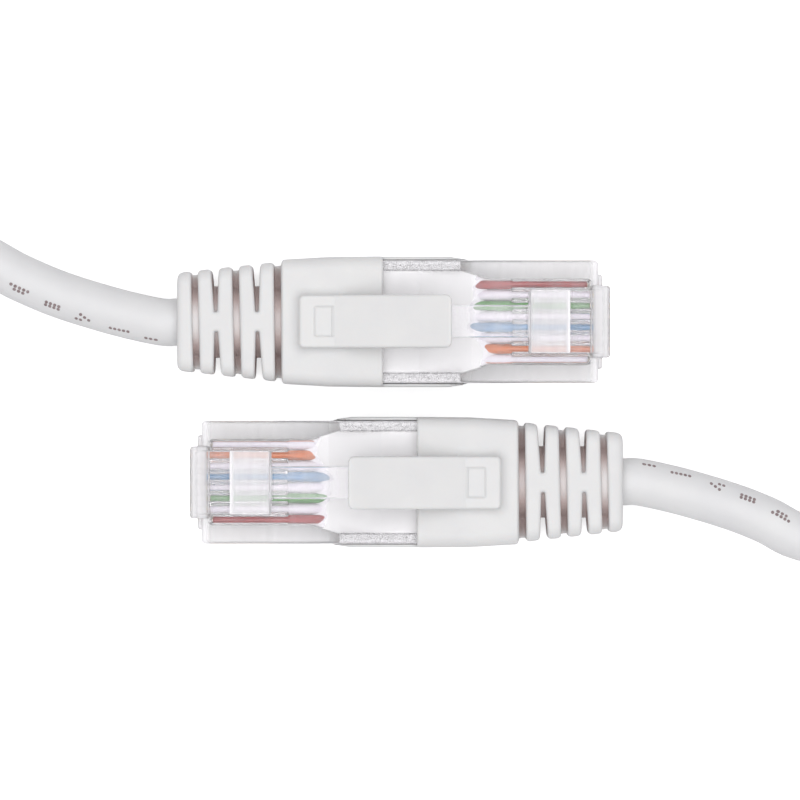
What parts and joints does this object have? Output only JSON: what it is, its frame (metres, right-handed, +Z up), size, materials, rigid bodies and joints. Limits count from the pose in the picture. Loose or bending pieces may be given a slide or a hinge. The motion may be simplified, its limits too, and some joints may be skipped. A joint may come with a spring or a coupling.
{
  "type": "ethernet patch cable",
  "caption": "Short white network lead: a clear modular plug with coloured wires, sprung latch and ribbed white boot at each end of a round cable.",
  "frame": {"origin": "on the surface that the cable lies on, midway between the two plugs", "axes": "+X along the plugs, the way the nose of plug a points; +Y towards plug a; +Z up, out of the latches"},
  "size_m": [0.1103, 0.0609, 0.013],
  "materials": {
    "cable_jacket": "soft white cable jacket with a faint sheen",
    "boot_pvc": "satin moulded flexible plastic",
    "clear_plug": "clear polished",
    "inner_mould": "matte white",
    "contact_gold": "gold plated",
    "wire_white_orange": "insulated wire",
    "wire_orange": "insulated wire",
    "wire_white_green": "insulated wire",
    "wire_blue": "insulated wire",
    "wire_white_blue": "insulated wire",
    "wire_green": "insulated wire",
    "wire_white_brown": "insulated wire",
    "wire_brown": "insulated wire"
  },
  "bodies": {
    "cable": {"cord": "cable_jacket", "plug_housing_a": "clear_plug", "contacts_a": "contact_gold", "inner_mould_a": "inner_mould", "jacket_end_a": "cable_jacket", "boot_a": "boot_pvc", "plug_housing_b": "clear_plug", "contacts_b": "contact_gold", "inner_mould_b": "inner_mould", "jacket_end_b": "cable_jacket", "boot_b": "boot_pvc", "wire_white_orange_a": "wire_white_orange", "wire_orange_a": "wire_orange", "wire_white_green_a": "wire_white_green", "wire_blue_a": "wire_blue", "wire_white_blue_a": "wire_white_blue", "wire_green_a": "wire_green", "wire_white_brown_a": "wire_white_brown", "wire_brown_a": "wire_brown", "wire_white_orange_b": "wire_white_orange", "wire_orange_b": "wire_orange", "wire_white_green_b": "wire_white_green", "wire_blue_b": "wire_blue", "wire_white_blue_b": "wire_white_blue", "wire_green_b": "wire_green", "wire_white_brown_b": "wire_white_brown", "wire_brown_b": "wire_brown"},
    "guard_a": {"latch_guard_a": "boot_pvc"},
    "latch_a": {"plug_latch_a": "clear_plug"},
    "guard_b": {"latch_guard_b": "boot_pvc"},
    "latch_b": {"plug_latch_b": "clear_plug"}
  },
  "joints": [
    {"name": "guard_press_a", "type": "hinge", "parent": "cable", "child": "guard_a", "pos_m": [-0.006, 0.0076, 0.009], "axis": [0, 1, 0], "range_deg": [0, 14.6], "stiffness_Nm_per_rad": 0.03},
    {"name": "latch_flex_a", "type": "hinge", "parent": "cable", "child": "latch_a", "pos_m": [0.019, 0.0076, 0.0074], "axis": [0, -1, 0], "range_deg": [0, 8.8], "stiffness_Nm_per_rad": 0.03},
    {"name": "guard_press_b", "type": "hinge", "parent": "cable", "child": "guard_b", "pos_m": [0.006, -0.0076, 0.009], "axis": [0, -1, 0], "range_deg": [0, 14.6], "stiffness_Nm_per_rad": 0.03},
    {"name": "latch_flex_b", "type": "hinge", "parent": "cable", "child": "latch_b", "pos_m": [-0.019, -0.0076, 0.0074], "axis": [0, 1, 0], "range_deg": [0, 8.8], "stiffness_Nm_per_rad": 0.03}
  ],
  "couplings": [
    {"joint": "latch_flex_a", "follows": "guard_press_a", "ratio": 0.59},
    {"joint": "latch_flex_b", "follows": "guard_press_b", "ratio": 0.59}
  ]
}
